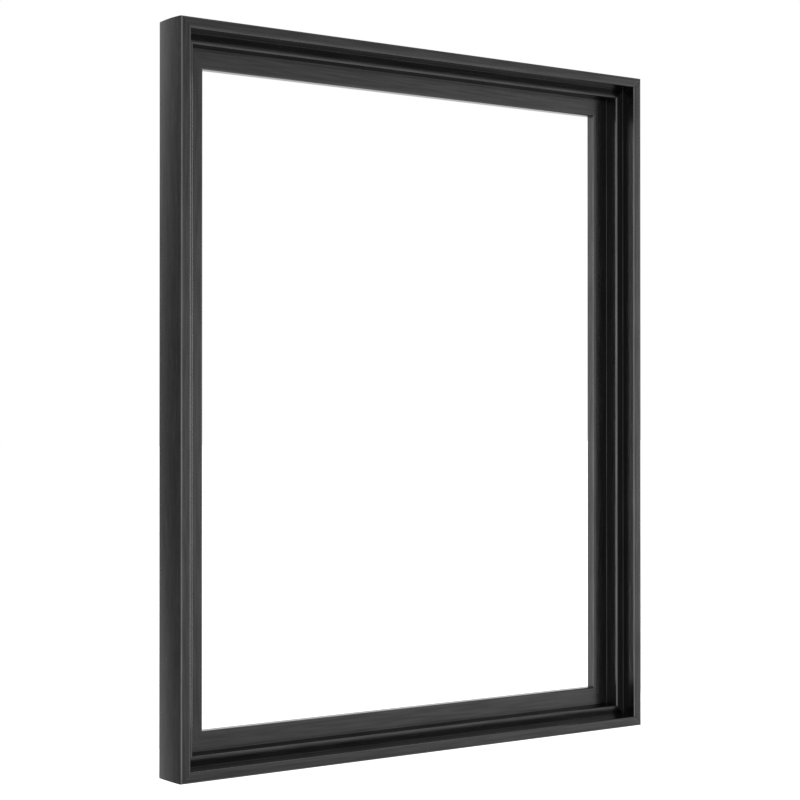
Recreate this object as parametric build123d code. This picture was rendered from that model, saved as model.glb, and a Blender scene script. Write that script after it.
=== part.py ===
from build123d import *

import os
from math import asin, cos, degrees, radians, sin

# Black wooden floating frame for a stretched canvas, with the hangers and bumpers on its back.
# +X is to the right seen from the front, +Y points at the wall and +Z is up. The origin is the
# middle of the frame in the plane of the wall, which the four bumpers touch.

# The stretched canvas that the frame holds: 16 x 20 in, on 3/4 in bars.
CANVAS_WIDTH = 406.4
CANVAS_HEIGHT = 508.0
CANVAS_GAP = 1.3

# Moulding section. Widths run inwards from the outer side, depths back from the front. The two
# walls inside it lean inwards by the draft from their tops to their feet.
LIP_WIDTH = 7.9
STEP_WIDTH = 8.6
LEDGE_WIDTH = 15.1
WALL_DRAFT = 0.6
MOULDING_DEPTH = 32.3
STEP_DEPTH_AT_LIP = 13.5
STEP_DEPTH_AT_EDGE = 12.3
LEDGE_DEPTH = 24.5
OUTER_ARRIS = 1.5
LIP_ARRIS = 1.5
STEP_ARRIS = 1.6
INNER_CORNER = 0.3
OPENING_ARRIS = 1.3
BACK_ARRIS = 0.3

# V-nails: folded steel strips driven into the back across each mitre.
NAIL_LEG = 4.5
NAIL_HALF_ANGLE = 60.0
NAIL_STRIP = 0.5
NAIL_HEIGHT = 10.0
NAIL_SUNK = 0.3
NAIL_INSETS = (6.5, 12.0)

# Bumpers: one on the back of each corner.
BUMPER_DIAMETER = 11.2
BUMPER_TOP_DIAMETER = 10.0
BUMPER_HEIGHT = 5.1
BUMPER_EDGE = 0.8
BUMPER_INSET = 20.0

# Hangers: a folded steel strap, a ring that swings in its loop, and two screws.
STRAP_WIDTH = 10.0
STRAP_SHEET = 0.8
STRAP_LENGTH = 33.0
STRAP_END_RADIUS = 3.5
STRAP_PINCH = 4.2
STRAP_RIM = 0.2
HANGER_INSET = 11.0
HANGER_DROP_SHARE = 1 / 3
RING_WIRE_RADIUS = 1.1
RING_CLEARANCE = 0.06
RING_WIDTH = 17.0
RING_CORNER = 2.0
RING_LENGTH = 13.5
RING_REST_GAP = 0.25
SCREW_DROPS = (19.0, 28.0)
SCREW_RADIUS = 1.45
SCREW_HOLE_RADIUS = 1.65
SCREW_LENGTH = 13.5
SCREW_TIP = 3.0
SCREW_HEAD_RADIUS = 2.75
SCREW_HEAD_HEIGHT = 1.7
SCREW_HEAD_EDGE = 1.1
SCREW_RECESS_WIDTH = 0.8
SCREW_RECESS_SPAN = 2.9
SCREW_RECESS_DEPTH = 1.0

# Worked out from the above.
MOULDING_WIDTH = LIP_WIDTH + STEP_WIDTH + LEDGE_WIDTH
CANVAS_MARGIN = LIP_WIDTH + STEP_WIDTH + CANVAS_GAP
FRAME_WIDTH = CANVAS_WIDTH + 2 * CANVAS_MARGIN
FRAME_HEIGHT = CANVAS_HEIGHT + 2 * CANVAS_MARGIN
BACK_Y = -BUMPER_HEIGHT
FRONT_Y = BACK_Y - MOULDING_DEPTH
LOOP_BORE = RING_WIRE_RADIUS + RING_CLEARANCE
LOOP_RADIUS = LOOP_BORE + STRAP_SHEET
STRAP_THICKNESS = 2 * STRAP_SHEET
HINGE_HEIGHT = LOOP_RADIUS
RING_RISE = STRAP_THICKNESS + RING_WIRE_RADIUS + RING_REST_GAP - HINGE_HEIGHT
RING_REST_TILT = degrees(asin(RING_RISE / RING_LENGTH))
HANGER_X = FRAME_WIDTH / 2 - HANGER_INSET
HINGE_Z = FRAME_HEIGHT / 2 - HANGER_DROP_SHARE * FRAME_HEIGHT

# Each corner and side, with the direction that it lies in from the middle of the frame.
CORNERS = {
    "top_left": (-1, 1),
    "top_right": (1, 1),
    "bottom_left": (-1, -1),
    "bottom_right": (1, -1),
}
SIDES = {"left": -1, "right": 1}


def moulding_section():
    """The stepped section as a face in the YZ plane, its outer front corner at the origin."""
    riser_inset = LIP_WIDTH + STEP_WIDTH
    corners = [
        ((0, 0), OUTER_ARRIS),
        ((LIP_WIDTH, 0), LIP_ARRIS),
        ((LIP_WIDTH + WALL_DRAFT, STEP_DEPTH_AT_LIP), INNER_CORNER),
        ((riser_inset, STEP_DEPTH_AT_EDGE), STEP_ARRIS),
        ((riser_inset + WALL_DRAFT, LEDGE_DEPTH), INNER_CORNER),
        ((MOULDING_WIDTH, LEDGE_DEPTH), OPENING_ARRIS),
        ((MOULDING_WIDTH, MOULDING_DEPTH), BACK_ARRIS),
        ((0, MOULDING_DEPTH), BACK_ARRIS),
    ]
    points = [(depth, -inward) for (inward, depth), radius in corners]
    radii = [radius for point, radius in corners]
    return Plane.YZ * make_face(FilletPolyline(*points, radius=radii, close=True))


def mitred_rail(length, reach):
    """A rail along X whose outer side is `reach` above the middle, cut at 45 degrees."""
    bar = Pos(-length / 2, FRONT_Y, reach) * extrude(moulding_section(), length, dir=(1, 0, 0))
    outer = length / 2
    inner = outer - MOULDING_WIDTH
    outline = make_face(
        Polyline(
            (-outer, FRONT_Y, reach),
            (outer, FRONT_Y, reach),
            (inner, FRONT_Y, reach - MOULDING_WIDTH),
            (-inner, FRONT_Y, reach - MOULDING_WIDTH),
            close=True,
        )
    )
    return bar & extrude(outline, MOULDING_DEPTH, dir=(0, 1, 0))


def corner_place(side, level):
    """Turns a part made for the top right corner so that it fits the corner named."""
    turn = {(1, 1): 0, (1, -1): 90, (-1, -1): 180, (-1, 1): 270}[(side, level)]
    return Pos(side * FRAME_WIDTH / 2, BACK_Y, level * FRAME_HEIGHT / 2) * Rot(0, turn, 0)


def nail_bar(inset, sunk, height):
    """A V-shaped bar for the top right corner, its fold on the mitre and its legs spread inwards."""
    angle = radians(NAIL_HALF_ANGLE)
    reach = NAIL_LEG * cos(angle)
    spread = NAIL_LEG * sin(angle)
    across = NAIL_STRIP * sin(angle)
    along = NAIL_STRIP * cos(angle)
    outline = make_face(
        Polyline(
            (0, 0),
            (reach, spread),
            (reach + across, spread - along),
            (NAIL_STRIP / sin(angle), 0),
            (reach + across, along - spread),
            (reach, -spread),
            close=True,
        )
    )
    inward = Plane((-inset, -sunk, -inset), x_dir=(-1, 0, -1), z_dir=(0, -1, 0))
    return extrude(inward * outline, height, dir=(0, -1, 0))


def v_nails(side, level):
    """Both V-nails of one corner, driven just under the back of the rails."""
    place = corner_place(side, level)
    return [place * nail_bar(inset, NAIL_SUNK, NAIL_HEIGHT) for inset in NAIL_INSETS]


def nail_slots(side, level):
    """The slots that the V-nails of one corner cut, open at the back of the rails."""
    place = corner_place(side, level)
    return [place * nail_bar(inset, 0, NAIL_SUNK + NAIL_HEIGHT) for inset in NAIL_INSETS]


def bumper(side, level):
    """A tapered round bumper stuck over the mitre, flat where it meets the wall."""
    foot = BUMPER_DIAMETER / 2
    top = BUMPER_TOP_DIAMETER / 2
    profile = make_face(
        FilletPolyline(
            (0, 0),
            (foot, 0),
            (top, BUMPER_HEIGHT),
            (0, BUMPER_HEIGHT),
            radius=[0, 0, BUMPER_EDGE, 0],
            close=True,
        )
    )
    solid = revolve(Plane.XY * profile, Axis.Y)
    return corner_place(side, level) * Pos(-BUMPER_INSET, 0, -BUMPER_INSET) * solid


def hanger_place(side):
    """Origin of a hanger: on the back of the rail, level with the hinge of its ring."""
    return Pos(side * HANGER_X, BACK_Y, HINGE_Z)


def hanger_strap():
    """The folded strap, with its loop at the top, two layers below and two screw holes."""
    loop = Pos(HINGE_HEIGHT, 0) * Circle(LOOP_RADIUS)
    bore = Pos(HINGE_HEIGHT, 0) * Circle(LOOP_BORE)
    pinch = Pos(STRAP_SHEET, -STRAP_PINCH) * Rectangle(STRAP_THICKNESS, STRAP_SHEET)
    crease = Pos(STRAP_SHEET, -STRAP_PINCH + STRAP_SHEET) * Circle(STRAP_SHEET / 8)
    layers = Pos(STRAP_SHEET, -(STRAP_LENGTH + STRAP_PINCH) / 2) * Rectangle(
        STRAP_THICKNESS, STRAP_LENGTH - STRAP_PINCH
    )
    fold = make_hull(loop.edges() + pinch.edges())
    gap = make_hull(bore.edges() + crease.edges())
    section = Plane.YZ * (fold + layers - gap)
    strap = extrude(section, STRAP_WIDTH / 2, both=True)
    corners = strap.edges().filter_by(Axis.Y).group_by(Axis.Z)[0]
    strap = fillet(corners, STRAP_END_RADIUS)
    for drop in SCREW_DROPS:
        hole = Pos(0, STRAP_SHEET, -drop) * Rot(90, 0, 0)
        strap -= hole * Cylinder(SCREW_HOLE_RADIUS, 2 * STRAP_THICKNESS)
    return strap


def d_ring():
    """The wire ring, hanging over the strap and tilted just enough to clear it."""
    half = RING_WIDTH / 2 - RING_WIRE_RADIUS
    bow_centre = RING_LENGTH - half
    bar = Line((-half + RING_CORNER, 0), (half - RING_CORNER, 0))
    right_corner = RadiusArc((half - RING_CORNER, 0), (half, RING_CORNER), -RING_CORNER)
    right_side = Line((half, RING_CORNER), (half, bow_centre))
    bow = ThreePointArc((half, bow_centre), (0, RING_LENGTH), (-half, bow_centre))
    left_side = Line((-half, bow_centre), (-half, RING_CORNER))
    left_corner = RadiusArc((-half, RING_CORNER), (-half + RING_CORNER, 0), -RING_CORNER)
    path = Wire([bar, right_corner, right_side, bow, left_side, left_corner])
    section = Plane((0, 0, 0), x_dir=(0, 1, 0), z_dir=(1, 0, 0)) * Circle(RING_WIRE_RADIUS)
    ring = sweep(section, path=path)
    return Pos(0, HINGE_HEIGHT, 0) * Rot(RING_REST_TILT - 90, 0, 0) * ring


def wood_screw():
    """A pan-head wood screw along +Y, its head resting on the plane Y = 0."""
    head = make_face(
        FilletPolyline(
            (0, 0),
            (SCREW_HEAD_RADIUS, 0),
            (SCREW_HEAD_RADIUS, SCREW_HEAD_HEIGHT),
            (0, SCREW_HEAD_HEIGHT),
            radius=[0, 0, SCREW_HEAD_EDGE, 0],
            close=True,
        )
    )
    shank = make_face(
        Polyline(
            (0, 0),
            (SCREW_RADIUS, 0),
            (SCREW_RADIUS, SCREW_TIP - SCREW_LENGTH),
            (0, -SCREW_LENGTH),
            close=True,
        )
    )
    screw = revolve(head + shank, Axis.Y)
    for turn in (0, 90):
        slot = Box(SCREW_RECESS_SPAN, 2 * SCREW_RECESS_DEPTH, SCREW_RECESS_WIDTH)
        screw -= Pos(0, SCREW_HEAD_HEIGHT, 0) * Rot(0, turn, 0) * slot
    return screw


def hanger_screws(side):
    """Both screws of one hanger, seated on its strap."""
    place = hanger_place(side)
    return [place * Pos(0, STRAP_THICKNESS, -drop) * wood_screw() for drop in SCREW_DROPS]


slots = {name: nail_slots(*corner) for name, corner in CORNERS.items()}
screws = {name: hanger_screws(side) for name, side in SIDES.items()}

rails = {
    "top": mitred_rail(FRAME_WIDTH, FRAME_HEIGHT / 2),
    "bottom": Rot(0, 180, 0) * mitred_rail(FRAME_WIDTH, FRAME_HEIGHT / 2),
    "left": Rot(0, -90, 0) * mitred_rail(FRAME_HEIGHT, FRAME_WIDTH / 2),
    "right": Rot(0, 90, 0) * mitred_rail(FRAME_HEIGHT, FRAME_WIDTH / 2),
}

nodes = {}
for name, rail in rails.items():
    for corner, pair in slots.items():
        if name in corner:
            rail -= pair
    rail -= screws.get(name, [])
    nodes[f"rail_{name}"] = rail
for name, (side, level) in CORNERS.items():
    nodes[f"v_nails_{name}"] = Compound(v_nails(side, level))
    nodes[f"bumper_{name}"] = bumper(side, level)
for name, side in SIDES.items():
    nodes[f"hanger_strap_{name}"] = hanger_place(side) * hanger_strap()
    nodes[f"d_ring_{name}"] = hanger_place(side) * d_ring()
    nodes[f"hanger_screws_{name}"] = Compound(screws[name])

os.makedirs("parts", exist_ok=True)
for name, shape in nodes.items():
    export_step(shape, f"parts/{name}.step")

print("frame", FRAME_WIDTH, "x", FRAME_HEIGHT, "x", MOULDING_DEPTH)
print("hinge axis", HANGER_X, BACK_Y + HINGE_HEIGHT, HINGE_Z, "ring tilt", RING_REST_TILT)
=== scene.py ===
import math

import bpy
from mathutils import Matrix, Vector, noise


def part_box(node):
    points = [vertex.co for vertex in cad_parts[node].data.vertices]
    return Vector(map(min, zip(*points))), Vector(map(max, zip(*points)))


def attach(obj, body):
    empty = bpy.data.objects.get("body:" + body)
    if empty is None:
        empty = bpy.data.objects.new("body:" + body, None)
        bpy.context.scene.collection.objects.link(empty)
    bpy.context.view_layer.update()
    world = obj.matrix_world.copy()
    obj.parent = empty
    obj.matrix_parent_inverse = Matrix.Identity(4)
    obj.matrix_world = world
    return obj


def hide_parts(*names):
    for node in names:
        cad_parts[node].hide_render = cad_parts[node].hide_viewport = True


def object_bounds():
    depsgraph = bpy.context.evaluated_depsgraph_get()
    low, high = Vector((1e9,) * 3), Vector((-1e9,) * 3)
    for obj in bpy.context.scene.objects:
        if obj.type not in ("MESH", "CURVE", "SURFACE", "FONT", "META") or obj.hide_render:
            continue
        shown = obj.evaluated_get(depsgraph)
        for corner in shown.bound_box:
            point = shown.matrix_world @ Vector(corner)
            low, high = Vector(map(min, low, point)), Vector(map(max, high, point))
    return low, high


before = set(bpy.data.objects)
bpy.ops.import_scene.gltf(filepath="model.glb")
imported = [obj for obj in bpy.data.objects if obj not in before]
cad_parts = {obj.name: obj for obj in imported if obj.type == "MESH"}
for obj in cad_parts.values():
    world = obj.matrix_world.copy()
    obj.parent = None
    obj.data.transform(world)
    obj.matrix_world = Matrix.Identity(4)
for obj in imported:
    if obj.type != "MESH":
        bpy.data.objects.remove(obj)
cad_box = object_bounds()

MM = 0.001

# Section of the moulding in metres: widths run inwards from the outer side, depths back from the front.
LIP_WIDTH = 7.9 * MM
RISER_INSET = 16.5 * MM
MOULDING_WIDTH = 31.6 * MM
WALL_DRAFT = 0.6 * MM
STEP_DEPTH_AT_LIP = 13.5 * MM
STEP_DEPTH_AT_EDGE = 12.3 * MM
LEDGE_DEPTH = 24.5 * MM
OUTER_ARRIS = 1.5 * MM
LIP_ARRIS = 1.5 * MM
STEP_ARRIS = 1.3 * MM
INNER_CORNER = 0.2 * MM
OPENING_ARRIS = 1.3 * MM
BACK_ARRIS = 0.3 * MM

# The wall behind the lip turns from upright to leaning round this share of its depth, on this radius.
WALL_STRAIGHT_SHARE = 0.45
WALL_CURVE = 110.0 * MM

# How finely the rails are built, and how far paint and sanding take them from true.
ARC_STEPS = 8
FLAT_SPACING = 1.2 * MM
STATION_SPACING = 4.0 * MM
FACE_WAVE = 0.035 * MM
SIDE_CROWN = 0.5 * MM
WAVES_ALONG = 9.0
WAVES_ACROSS = 60.0
WAVES_APART = 7.0
MITRE_EASE_WIDTH = 0.15 * MM
MITRE_EASE_DEPTH = 0.008 * MM

# Where the back counts as bare wood: how near the back face, and the value given to painted points.
BARE_SKIN = 0.05 * MM
PAINTED = -1.5

# How far each rail is turned from the top one, in degrees, and the seed of its grain and waves.
RAILS = {
    "rail_top": {"turn": 0, "seed": 1.0},
    "rail_right": {"turn": 90, "seed": 2.0},
    "rail_bottom": {"turn": 180, "seed": 3.0},
    "rail_left": {"turn": 270, "seed": 4.0},
}

# Soft lights round the frame: degrees from the front towards the right, degrees up, how tight
# each light is, and how bright its middle is.
SOFTBOXES = {
    "backdrop": (180, 0, 30, 0.9),
    "backdrop_high": (-168, 22, 30, 1.9),
    "backdrop_low": (-168, -22, 30, 1.9),
    "back_left_high": (-150, 22, 30, 0.5),
    "back_left_low": (-150, -22, 30, 0.4),
    "back_left": (-122, 0, 40, 1.4),
    "left": (-95, 0, 12, 2.4),
    "front_left": (-65, 0, 12, 3.0),
    "camera_side": (-28, 0, 12, 1.4),
    "front": (12, 0, 45, 1.7),
    "front_right": (36, 0, 45, 1.2),
    "right": (60, 0, 45, 3.6),
    "right_side": (95, 0, 12, 0.9),
    "high_front_right": (45, 45, 6, 1.15),
    "low_front_right": (45, -45, 6, 1.5),
    "low_front_left": (-45, -45, 6, 0.6),
}

# The softbox behind the frame: its size and place in metres, and how bright it is.
BACKLIGHT_WIDTH = 0.60
BACKLIGHT_HEIGHT = 0.80
BACKLIGHT_MIDDLE = 0.10
BACKLIGHT_DISTANCE = 0.10
BACKLIGHT_STRENGTH = 1.25

# The pale floor: how far it reaches in metres, its look, and how bright it glows.
FLOOR_REACH = 12.0
FLOOR_COLOUR = (0.86, 0.86, 0.86, 1.0)
FLOOR_ROUGHNESS = 0.9
FLOOR_GLOW = 1.0

# The camera: focal length and sensor in millimetres, place in metres, turn in degrees.
LENS = 86.71
SENSOR = 36.0
NEAR_CLIP = 0.05
FAR_CLIP = 60.0
CAMERA_PLACE = (-0.8981, -1.2267, -0.0089)
CAMERA_TILT = 90.36
CAMERA_TURN = -36.12

# Paint and stain: linear colours, roughness, sheen, how far each seed shifts the grain along and
# across, and how high the texture stands.
PAINT_DEEP = (0.0014, 0.0014, 0.0015, 1.0)
PAINT_CLOUD = (0.0028, 0.0028, 0.0029, 1.0)
PAINT_SPECK = (0.010, 0.010, 0.010, 1.0)
# A painted highlight for the rounded edges, laid on as lighter rubbed paint.
PAINT_EDGE_HIGHLIGHT = (0.034, 0.034, 0.035, 1.0)
PAINT_ROUGHNESS = (0.16, 0.21)
PORE_ROUGHNESS = 0.05
PAINT_SHEEN = (0.42, 0.58)
GRAIN_SHIFT = (3.7, 1.3)
STREAK_HEIGHT = 0.02 * MM
PORE_DEPTH = 0.012 * MM
PEEL_HEIGHT = 0.004 * MM
STAIN_PALE = (0.034, 0.027, 0.021, 1.0)
STAIN_DARK = (0.014, 0.012, 0.011, 1.0)
STAIN_PORE = (0.008, 0.008, 0.008, 1.0)
STAIN_ROUGHNESS = 0.62

# Zinc plate: linear colour and roughness of each kind of part. Rubber: its darkest and lightest.
NAIL_STRIP = ((0.34, 0.34, 0.35), 0.40)
STRAP_ZINC = ((0.60, 0.60, 0.59), 0.34)
RING_ZINC = ((0.64, 0.64, 0.63), 0.26)
SCREW_ZINC = ((0.54, 0.54, 0.53), 0.30)
ZINC_DULLED = 0.72
ZINC_RUB_HEIGHT = 0.006 * MM
RUBBER_DARK = (0.022, 0.022, 0.022, 1.0)
RUBBER_PALE = (0.04, 0.04, 0.039, 1.0)
RUBBER_GRAIN_HEIGHT = 0.02 * MM

WHITE = (1.0, 1.0, 1.0, 1.0)
CORNERS = ("top_left", "top_right", "bottom_left", "bottom_right")
SIDES = ("left", "right")


# ---------------------------------------------------------------- materials


class Shader:
    """A node material with one Principled shader, and short calls to add nodes to it."""

    def __init__(self, name, **uniform):
        self.material = bpy.data.materials.new(name)
        self.material.use_nodes = True
        self.tree = self.material.node_tree
        self.principled = self.tree.nodes["Principled BSDF"]
        for socket, value in uniform.items():
            self.principled.inputs[socket.replace("_", " ")].default_value = value

    def node(self, kind, settings=None, **inputs):
        made = self.tree.nodes.new(kind)
        for key, value in (settings or {}).items():
            setattr(made, key, value)
        for key, value in inputs.items():
            self.feed(value, made.inputs[key.replace("_", " ")])
        return made

    def feed(self, value, socket):
        if isinstance(value, bpy.types.NodeSocket):
            self.tree.links.new(value, socket)
        else:
            socket.default_value = value

    def drive(self, socket, value):
        self.feed(value, self.principled.inputs[socket])

    def math(self, operation, first, second=0.0, third=0.0):
        made = self.tree.nodes.new("ShaderNodeMath")
        made.operation = operation
        for socket, value in zip(made.inputs, (first, second, third)):
            self.feed(value, socket)
        return made.outputs[0]

    def blend(self, factor, first, second):
        made = self.tree.nodes.new("ShaderNodeMix")
        made.data_type = "RGBA"
        sockets = [s for s in made.inputs if s.type == "RGBA"]
        self.feed(factor, made.inputs[0])
        self.feed(first, sockets[0])
        self.feed(second, sockets[1])
        return next(s for s in made.outputs if s.type == "RGBA")

    def spread(self, value, low, high, out_low=0.0, out_high=1.0):
        made = self.node("ShaderNodeMapRange", {"interpolation_type": "SMOOTHSTEP"})
        for socket, number in zip(made.inputs, (value, low, high, out_low, out_high)):
            self.feed(number, socket)
        return made.outputs[0]

    def place(self, name):
        return self.node("ShaderNodeTexCoord").outputs[name]

    def attribute(self, name):
        return self.node("ShaderNodeAttribute", {"attribute_name": name}).outputs["Fac"]

    def stretched(self, source, scale, offset=(0.0, 0.0, 0.0)):
        made = self.node("ShaderNodeMapping", Vector=source, Scale=scale, Location=offset)
        return made.outputs[0]

    def noise(self, vector, scale, detail=2.0, roughness=0.5, distortion=0.0):
        made = self.node(
            "ShaderNodeTexNoise",
            Vector=vector,
            Scale=scale,
            Detail=detail,
            Roughness=roughness,
            Distortion=distortion,
        )
        return made.outputs[0]

    def bump(self, height, distance, strength=1.0, under=None):
        made = self.node("ShaderNodeBump", Height=height, Distance=distance, Strength=strength)
        if under is not None:
            self.feed(under, made.inputs["Normal"])
        return made.outputs[0]


def black_paint(shader, place, streaks, pores):
    """Colour and roughness of the paint: cloudy black with a few specks, and lighter on the rounded
    edges as a painted highlight, given the look of rubbed paint.
    """
    cloud = shader.noise(place, 16.0, 3.0, 0.5)
    specks = shader.spread(shader.noise(place, 1900.0, 1.0, 0.5), 0.80, 0.86)
    deep = shader.blend(cloud, PAINT_DEEP, PAINT_CLOUD)
    painted = shader.blend(specks, deep, PAINT_SPECK)
    # The rounded edges are lightened along the streaks: a painted highlight, given the look of rubbed
    # paint.
    highlight_strength = shader.spread(streaks, 0.2, 0.8, 0.7, 1.0)
    rubbing_and_highlight = shader.math("MULTIPLY", shader.attribute("arris_highlight"), highlight_strength)
    colour = shader.blend(rubbing_and_highlight, painted, PAINT_EDGE_HIGHLIGHT)
    rough = shader.spread(streaks, 0.3, 0.7, *PAINT_ROUGHNESS)
    rough = shader.math("ADD", rough, shader.math("MULTIPLY", pores, PORE_ROUGHNESS))
    return colour, rough


def stained_wood(shader, along, shift, pores):
    """Colour of the thin stain on the back, with the growth rings and pores showing through."""
    grain = shader.noise(shader.stretched(along, (3.2, 160.0, 1.0), shift), 1.0, 5.0, 0.6, 0.6)
    ring_wave = shader.math("SINE", shader.math("MULTIPLY", grain, 34.0))
    rings = shader.spread(ring_wave, -0.4, 1.0)
    stain = shader.blend(rings, STAIN_PALE, STAIN_DARK)
    return shader.blend(shader.math("MULTIPLY", pores, 0.7), stain, STAIN_PORE)


def bare_share(shader, along, shift):
    """How bare the wood is, from 0 on the paint to 1 on the back, with a ragged edge between."""
    ragged = shader.noise(shader.stretched(along, (90.0, 500.0, 1.0), shift), 1.0, 4.0, 0.6)
    spill = shader.spread(ragged, 0.25, 0.75, -1.2, 0.4)
    return shader.spread(shader.math("ADD", shader.attribute("bare"), spill), 0.1, 1.1)


def painted_wood(name, seed):
    """Satin black paint over fine-grained wood, with thinly stained wood on the back of the rail."""
    shader = Shader(name)
    place = shader.place("Object")
    along = shader.place("UV")
    shift = (seed * GRAIN_SHIFT[0], seed * GRAIN_SHIFT[1], 0.0)
    streaks = shader.noise(shader.stretched(along, (24.0, 540.0, 1.0), shift), 1.0, 4.0, 0.6)
    fine = shader.noise(shader.stretched(along, (60.0, 2600.0, 1.0), shift), 1.0, 2.0, 0.6)
    pores = shader.spread(fine, 0.60, 0.74)
    peel = shader.noise(place, 900.0, 2.0, 0.5)

    paint, paint_rough = black_paint(shader, place, streaks, pores)
    stain = stained_wood(shader, along, shift, pores)
    is_bare = bare_share(shader, along, shift)
    shader.drive("Base Color", shader.blend(is_bare, paint, stain))
    rough = shader.node("ShaderNodeMix", {"data_type": "FLOAT"})
    shader.feed(is_bare, rough.inputs[0])
    shader.feed(paint_rough, rough.inputs[2])
    shader.feed(STAIN_ROUGHNESS, rough.inputs[3])
    shader.drive("Roughness", rough.outputs[0])
    shader.drive("Specular IOR Level", shader.spread(streaks, 0.34, 0.66, *PAINT_SHEEN))

    lengthwise = shader.bump(streaks, STREAK_HEIGHT)
    grained = shader.bump(shader.math("SUBTRACT", 1.0, pores), PORE_DEPTH, under=lengthwise)
    shader.drive("Normal", shader.bump(peel, PEEL_HEIGHT, under=grained))
    return shader.material


def zinc(name, colour, rough):
    """Bright zinc plate with fine rubbing marks and small cloudy patches."""
    shader = Shader(name, Metallic=1.0)
    place = shader.place("Object")
    cloud = shader.noise(place, 350.0, 3.0, 0.6)
    rubbing_and_highlight = shader.noise(shader.stretched(place, (4000.0, 900.0, 700.0)), 1.0, 3.0, 0.6)
    dull = tuple(ZINC_DULLED * c for c in colour)
    shader.drive("Base Color", shader.blend(cloud, (*dull, 1.0), (*colour, 1.0)))
    shader.drive("Roughness", shader.spread(rubbing_and_highlight, 0.3, 0.7, rough - 0.07, rough + 0.1))
    shader.drive("Normal", shader.bump(rubbing_and_highlight, ZINC_RUB_HEIGHT))
    return shader.material


def rubber(name):
    """Matt moulded rubber with a fine texture."""
    shader = Shader(name)
    place = shader.place("Object")
    grain = shader.noise(place, 3500.0, 2.0, 0.6)
    cloud = shader.noise(place, 220.0, 2.0, 0.5)
    shader.drive("Base Color", shader.blend(cloud, RUBBER_DARK, RUBBER_PALE))
    shader.drive("Roughness", shader.spread(grain, 0.3, 0.7, 0.55, 0.72))
    shader.drive("Normal", shader.bump(grain, RUBBER_GRAIN_HEIGHT))
    return shader.material


# ---------------------------------------------------------------- rails


def moulding_corners(depth):
    """Corners round the section from the outer front: inward, depth, radius, and whether the edge gets
    the painted highlight that looks like rubbed paint.
    """
    wall_turn = WALL_STRAIGHT_SHARE * STEP_DEPTH_AT_LIP
    return [
        (0.0, 0.0, OUTER_ARRIS, True),
        (LIP_WIDTH, 0.0, LIP_ARRIS, True),
        (LIP_WIDTH, wall_turn, WALL_CURVE, False),
        (LIP_WIDTH + WALL_DRAFT, STEP_DEPTH_AT_LIP, INNER_CORNER, False),
        (RISER_INSET, STEP_DEPTH_AT_EDGE, STEP_ARRIS, True),
        (RISER_INSET + WALL_DRAFT, LEDGE_DEPTH, INNER_CORNER, False),
        (MOULDING_WIDTH, LEDGE_DEPTH, OPENING_ARRIS, True),
        (MOULDING_WIDTH, depth, BACK_ARRIS, False),
        (0.0, depth, BACK_ARRIS, False),
    ]


def rounded_corner(before, corner, after, radius):
    """Points along the arc of that radius that rounds a corner of the section."""
    into = (before - corner).normalized()
    out = (after - corner).normalized()
    half = into.angle(out) / 2
    centre = corner + (into + out).normalized() * (radius / math.sin(half))
    start = (corner + into * (radius / math.tan(half)) - centre).normalized()
    end = (corner + out * (radius / math.tan(half)) - centre).normalized()
    return [centre + start.slerp(end, step / ARC_STEPS) * radius for step in range(ARC_STEPS + 1)]


def section_points(depth):
    """The rounded section as a closed list of points, and how strong the painted edge highlight, laid
    on as rubbed paint, is at each.
    """
    corners = moulding_corners(depth)
    count = len(corners)
    arcs = []
    for index, (inward, back, radius, _) in enumerate(corners):
        before = Vector(corners[index - 1][:2])
        after = Vector(corners[(index + 1) % count][:2])
        arcs.append(rounded_corner(before, Vector((inward, back)), after, radius))
    points, arris_highlight = [], []
    for index, arc in enumerate(arcs):
        # Edges marked True get the painted highlight, strongest at the middle of each arc.
        rubbing_and_highlight = corners[index][3]
        points += arc
        arris_highlight += [rubbing_and_highlight * math.sin(math.pi * step / ARC_STEPS) for step in range(ARC_STEPS + 1)]
        gap = arcs[(index + 1) % count][0] - arc[-1]
        pieces = max(1, round(gap.length / FLAT_SPACING))
        points += [arc[-1] + gap * (step / pieces) for step in range(1, pieces)]
        arris_highlight += [0.0] * (pieces - 1)
    return points, arris_highlight


def outward_normals(points):
    """Unit normals of the closed section, pointing out of the wood."""
    count = len(points)
    normals = []
    for index in range(count):
        run = (points[(index + 1) % count] - points[index - 1]).normalized()
        normals.append(Vector((run.y, -run.x)))
    return normals


def stations(half_length):
    """Distances along a rail, as shares of its half length, closer together at the mitres."""
    count = round(2 * half_length / STATION_SPACING)
    ease = MITRE_EASE_WIDTH / half_length
    inner = [-1 + ease + (2 - 2 * ease) * step / count for step in range(count + 1)]
    return [-1.0, *inner, 1.0]


def crown(inward, back, depth):
    """How far the sanded outer side bulges from flat, which is nothing at its two arrises."""
    flat = depth - OUTER_ARRIS - BACK_ARRIS
    share = 2 * (back - OUTER_ARRIS) / flat - 1
    if inward > BACK_ARRIS / 2 or abs(share) > 1:
        return 0.0
    return SIDE_CROWN * (1 - share * share)


def bare_wood(inward, back, depth):
    """How far a point of the section is inside the unpainted back, in millimetres."""
    if back < depth - BARE_SKIN:
        return PAINTED
    return (min(inward, MOULDING_WIDTH - inward) - BACK_ARRIS) / MM


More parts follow.
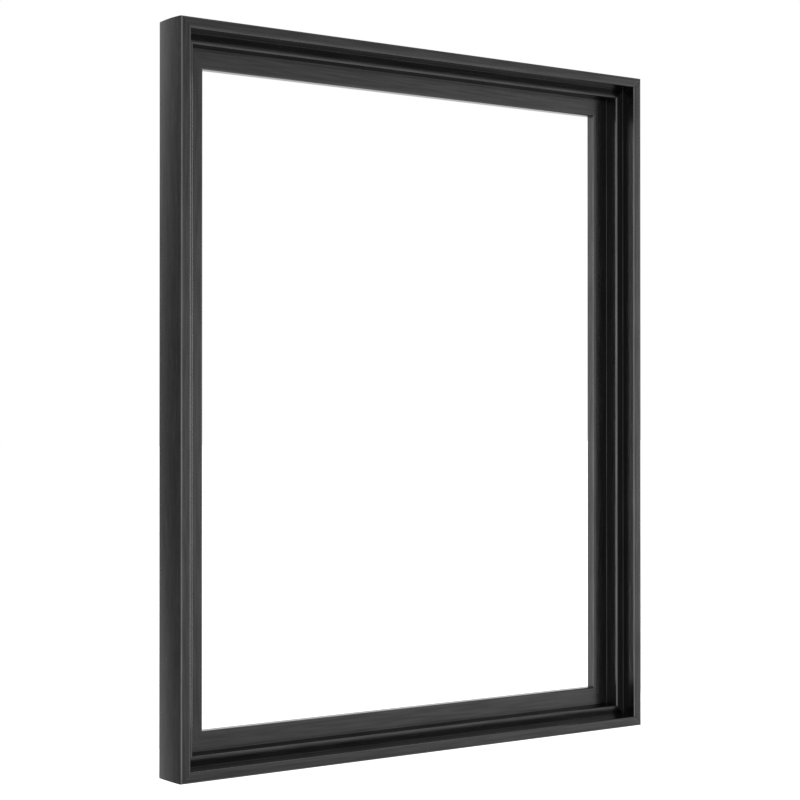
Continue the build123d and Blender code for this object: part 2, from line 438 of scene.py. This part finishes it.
def rail_verts(points, shares, half_length, reach, front, depth, seed):
    """Vertices of a rail, one row of section points at each station along it."""
    normals = outward_normals(points)
    verts = []
    for position, share in enumerate(shares):
        at_mitre = position in (0, len(shares) - 1)
        for point, normal in zip(points, normals):
            eased = at_mitre and point.y < LIP_ARRIS
            x = share * (half_length - point.x)
            inward = point.x * WAVES_ACROSS + seed * WAVES_APART
            wave = noise.noise(Vector((x * WAVES_ALONG, inward, point.y * WAVES_ACROSS)))
            shift = FACE_WAVE * wave - (MITRE_EASE_DEPTH if eased else 0.0)
            shift += crown(point.x, point.y, depth)
            moved = point + normal * shift
            x_kept = share * (half_length - (moved.x if eased else point.x))
            verts.append((x_kept, front + moved.y, reach - moved.x))
    return verts


def distances_around(points):
    """How far round the section each point is, and last the whole way round."""
    around = [0.0]
    for index, point in enumerate(points):
        step = (points[(index + 1) % len(points)] - point).length
        around.append(around[-1] + step)
    return around


def rail_faces(points, rows, verts):
    """Faces between the rows of a rail, then its two mitred ends, and a UV pair for each corner."""
    count = len(points)
    around = distances_around(points)
    faces, uvs = [], []
    for position in range(rows - 1):
        for index in range(count):
            after = (index + 1) % count
            here, there = position, position + 1
            corners = ((here, index), (here, after), (there, after), (there, index))
            faces.append([row * count + column for row, column in corners])
            for row, column in corners:
                turn = around[count] if column == 0 and index == count - 1 else around[column]
                uvs.append((verts[row * count + column][0], turn))
    for row in (0, rows - 1):
        cap = [row * count + column for column in range(count)]
        if row == 0:
            cap.reverse()
        faces.append(cap)
        uvs += [(points[corner % count].x, points[corner % count].y) for corner in cap]
    return faces, uvs


def rail_mesh(name, half_length, reach, front, depth, seed):
    """One mitred rail as a mesh along X, its outer side `reach` above the middle."""
    points, arris_highlight = section_points(depth)
    shares = stations(half_length)
    verts = rail_verts(points, shares, half_length, reach, front, depth, seed)
    faces, uvs = rail_faces(points, len(shares), verts)
    bare = [bare_wood(point.x, point.y, depth) for point in points]
    mesh = bpy.data.meshes.new(name)
    mesh.from_pydata(verts, [], faces)
    layer = mesh.uv_layers.new(name="along_and_around")
    layer.data.foreach_set("uv", [number for pair in uvs for number in pair])
    # The second attribute marks where the painted edge highlight goes.
    for attribute, values in (("bare", bare), ("arris_highlight", arris_highlight)):
        layer = mesh.attributes.new(attribute, "FLOAT", "POINT")
        layer.data.foreach_set("value", values * len(shares))
    caps = [False, False]
    mesh.polygons.foreach_set("use_smooth", [True] * (len(faces) - len(caps)) + caps)
    mesh.update()
    return mesh


def linked(name, data):
    """A new object in the scene with that mesh, light or camera."""
    made = bpy.data.objects.new(name, data)
    bpy.context.scene.collection.objects.link(made)
    return made


def open_slots(rail, cutters):
    """Cuts the V-nail slots out of a rail."""
    for cutter in cutters:
        modifier = rail.modifiers.new("cut", "BOOLEAN")
        modifier.operation = "DIFFERENCE"
        modifier.solver = "EXACT"
        modifier.object = cutter
    evaluated = rail.evaluated_get(bpy.context.evaluated_depsgraph_get())
    cut = bpy.data.meshes.new_from_object(evaluated)
    rail.modifiers.clear()
    rail.data = cut


def slot_cutter(corner, back):
    """The V-nails of a corner, stretched out through the back of the rails."""
    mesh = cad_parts[f"v_nails_{corner}"].data.copy()
    middle = sum(v.co.y for v in mesh.vertices) / len(mesh.vertices)
    for vertex in mesh.vertices:
        if vertex.co.y > middle:
            vertex.co.y = back + 1 * MM
    return linked(f"cutter_{corner}", mesh)


def turned(mesh, degrees):
    """Turns a mesh about the Y axis, clockwise seen from the front."""
    turn = math.radians(degrees)
    for vertex in mesh.vertices:
        x, y, z = vertex.co
        vertex.co = (
            x * math.cos(turn) + z * math.sin(turn),
            y,
            z * math.cos(turn) - x * math.sin(turn),
        )


def build_rails():
    """Replaces the four CAD rails with painted ones of the same size."""
    low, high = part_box("rail_top")
    side_low, side_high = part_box("rail_left")
    front, back = low.y, high.y
    half_width = (high.x - low.x) / 2
    half_height = (side_high.z - side_low.z) / 2
    slots = {corner: slot_cutter(corner, back) for corner in CORNERS}
    for name, facts in RAILS.items():
        side = name.removeprefix("rail_")
        along, reach = (half_height, half_width) if side in SIDES else (half_width, half_height)
        mesh = rail_mesh(f"{name}_painted", along, reach, front, back - front, facts["seed"])
        turned(mesh, facts["turn"])
        rail = linked(f"{name}_painted", mesh)
        open_slots(rail, [cutter for corner, cutter in slots.items() if side in corner])
        rail.data.materials.clear()
        rail.data.materials.append(painted_wood(f"black_paint_{side}", facts["seed"]))
        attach(rail, "frame")
        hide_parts(name)
    for cutter in slots.values():
        bpy.data.objects.remove(cutter)


# ---------------------------------------------------------------- hardware


def finish_hardware():
    """Gives the steel and rubber CAD nodes their finishes."""
    strip = zinc("nail_strip", *NAIL_STRIP)
    plate = zinc("strap_zinc", *STRAP_ZINC)
    wire = zinc("ring_zinc", *RING_ZINC)
    screw = zinc("screw_zinc", *SCREW_ZINC)
    pad = rubber("bumper_rubber")
    finishes = {}
    for corner in CORNERS:
        finishes[f"v_nails_{corner}"] = strip
        finishes[f"bumper_{corner}"] = pad
    for side in SIDES:
        finishes[f"hanger_strap_{side}"] = plate
        finishes[f"d_ring_{side}"] = wire
        finishes[f"hanger_screws_{side}"] = screw
    for node, material in finishes.items():
        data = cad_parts[node].data
        data.materials.clear()
        data.materials.append(material)


# ---------------------------------------------------------------- studio


def build_floor():
    """A plain pale floor under the frame."""
    ground = cad_box[0].z
    corners = ((-1, -1), (1, -1), (1, 1), (-1, 1))
    verts = [(FLOOR_REACH * x, FLOOR_REACH * y, ground) for x, y in corners]
    mesh = bpy.data.meshes.new("floor")
    mesh.from_pydata(verts, [], [(0, 1, 2, 3)])
    floor = linked("floor", mesh)
    shader = Shader("floor_pale", Roughness=FLOOR_ROUGHNESS)
    shader.drive("Base Color", FLOOR_COLOUR)
    shader.drive("Emission Color", WHITE)
    shader.drive("Emission Strength", FLOOR_GLOW)
    floor.data.materials.append(shader.material)
    floor.visible_glossy = False
    floor.visible_diffuse = False


def softbox(tree, direction, box, total):
    """Adds one soft light to the running total, and returns the new total."""
    round_from_front, height, tightness, strength = box
    turn, rise = math.radians(round_from_front), math.radians(height)
    facing = tree.nodes.new("ShaderNodeVectorMath")
    facing.operation = "DOT_PRODUCT"
    facing.inputs[1].default_value = (
        math.sin(turn) * math.cos(rise),
        -math.cos(turn) * math.cos(rise),
        math.sin(rise),
    )
    tree.links.new(direction, facing.inputs[0])
    falloff = tree.nodes.new("ShaderNodeMath")
    falloff.operation = "MULTIPLY_ADD"
    falloff.inputs[1].default_value = tightness
    falloff.inputs[2].default_value = -tightness
    tree.links.new(facing.outputs["Value"], falloff.inputs[0])
    glow = tree.nodes.new("ShaderNodeMath")
    glow.operation = "EXPONENT"
    tree.links.new(falloff.outputs[0], glow.inputs[0])
    added = tree.nodes.new("ShaderNodeMath")
    added.operation = "MULTIPLY_ADD"
    added.inputs[1].default_value = strength
    added.inputs[2].default_value = 0.0
    tree.links.new(glow.outputs[0], added.inputs[0])
    if total is not None:
        tree.links.new(total, added.inputs[2])
    return added.outputs[0]


def build_world():
    """Soft studio lights far away, on plain white surroundings for the camera."""
    world = bpy.data.worlds.new("studio")
    bpy.context.scene.world = world
    world.use_nodes = True
    tree = world.node_tree
    direction = tree.nodes.new("ShaderNodeTexCoord").outputs["Generated"]
    total = None
    for box in SOFTBOXES.values():
        total = softbox(tree, direction, box, total)
    lit = tree.nodes["Background"]
    lit.inputs["Color"].default_value = WHITE
    tree.links.new(total, lit.inputs["Strength"])
    white = tree.nodes.new("ShaderNodeBackground")
    white.inputs["Color"].default_value = WHITE
    white.inputs["Strength"].default_value = 1.0
    seen = tree.nodes.new("ShaderNodeLightPath").outputs["Is Camera Ray"]
    choice = tree.nodes.new("ShaderNodeMixShader")
    tree.links.new(seen, choice.inputs[0])
    tree.links.new(lit.outputs[0], choice.inputs[1])
    tree.links.new(white.outputs[0], choice.inputs[2])
    tree.links.new(choice.outputs[0], tree.nodes["World Output"].inputs["Surface"])


def build_backlight():
    """A wide softbox a little way behind the frame, which lights the inside of the opening."""
    data = bpy.data.lights.new("backlight", "AREA")
    data.shape = "RECTANGLE"
    data.size = BACKLIGHT_WIDTH
    data.size_y = BACKLIGHT_HEIGHT
    data.energy = math.pi * BACKLIGHT_WIDTH * BACKLIGHT_HEIGHT * BACKLIGHT_STRENGTH
    light = linked("backlight", data)
    light.location = (BACKLIGHT_MIDDLE, BACKLIGHT_DISTANCE, 0.0)
    light.rotation_euler = (math.radians(-90.0), 0.0, 0.0)
    light.visible_camera = False


def build_camera():
    """A long lens at the front left of the frame, level with its middle."""
    data = bpy.data.cameras.new("camera")
    data.lens = LENS
    data.sensor_width = SENSOR
    data.clip_start = NEAR_CLIP
    data.clip_end = FAR_CLIP
    camera = linked("camera", data)
    camera.location = CAMERA_PLACE
    camera.rotation_euler = (math.radians(CAMERA_TILT), 0.0, math.radians(CAMERA_TURN))
    bpy.context.scene.camera = camera


bpy.context.scene.view_settings.view_transform = "Standard"
build_camera()
build_rails()
finish_hardware()
build_floor()
build_world()
build_backlight()
